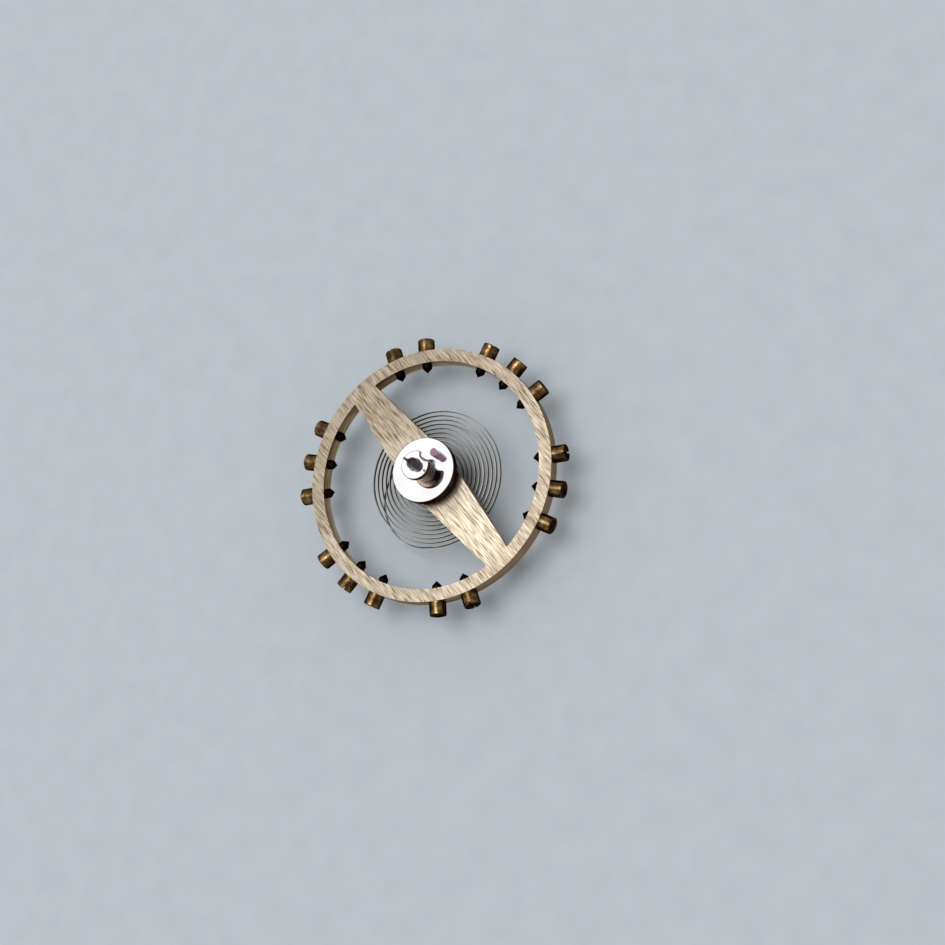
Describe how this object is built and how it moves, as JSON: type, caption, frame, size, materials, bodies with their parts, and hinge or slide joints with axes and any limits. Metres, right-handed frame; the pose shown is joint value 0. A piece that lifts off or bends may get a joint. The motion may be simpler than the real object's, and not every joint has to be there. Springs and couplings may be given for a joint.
{
  "type": "watch balance wheel",
  "caption": "Screw balance with two arms, staff, double roller with ruby impulse pin, and overcoil hairspring with collet and stud.",
  "frame": {"origin": "tip of the lower pivot, the end of the staff on the hairspring side, on the staff's axis", "axes": "+Z along the staff towards the double roller; X along the two arms; the impulse jewel stands at -Y"},
  "size_m": [0.013, 0.0136, 0.0051],
  "materials": {
    "gilt_brass": "straight-grained",
    "dark_bronze": "darkened, satin",
    "polished_steel": "polished",
    "mirror_steel": "black polished",
    "ruby": "polished synthetic ruby",
    "shellac": "gloss",
    "spring_steel": "satin",
    "collet_brass": "turned"
  },
  "bodies": {
    "stud": {"hairspring_stud": "polished_steel", "stud_pin": "collet_brass", "hairspring": "spring_steel"},
    "balance": {"balance_wheel": "gilt_brass", "balance_staff": "polished_steel", "impulse_roller": "mirror_steel", "safety_roller": "mirror_steel", "impulse_jewel": "ruby", "jewel_shellac": "shellac", "hairspring_collet": "collet_brass", "collet_pin": "collet_brass", "balance_screw_01": "dark_bronze", "balance_screw_02": "dark_bronze", "balance_screw_03": "dark_bronze", "balance_screw_04": "dark_bronze", "balance_screw_05": "dark_bronze", "balance_screw_06": "dark_bronze", "balance_screw_07": "dark_bronze", "balance_screw_08": "dark_bronze", "balance_screw_09": "dark_bronze", "balance_screw_10": "dark_bronze", "balance_screw_11": "dark_bronze", "balance_screw_12": "dark_bronze", "balance_screw_13": "dark_bronze", "balance_screw_14": "dark_bronze", "balance_screw_15": "dark_bronze", "balance_screw_16": "dark_bronze"}
  },
  "joints": [
    {"name": "balance_swing", "type": "hinge", "parent": "stud", "child": "balance", "pos_m": [0, 0, 0], "axis": [0, 0, 1], "range_deg": [-270, 270], "stiffness_Nm_per_rad": 0.000002, "deforming": ["hairspring"]}
  ]
}
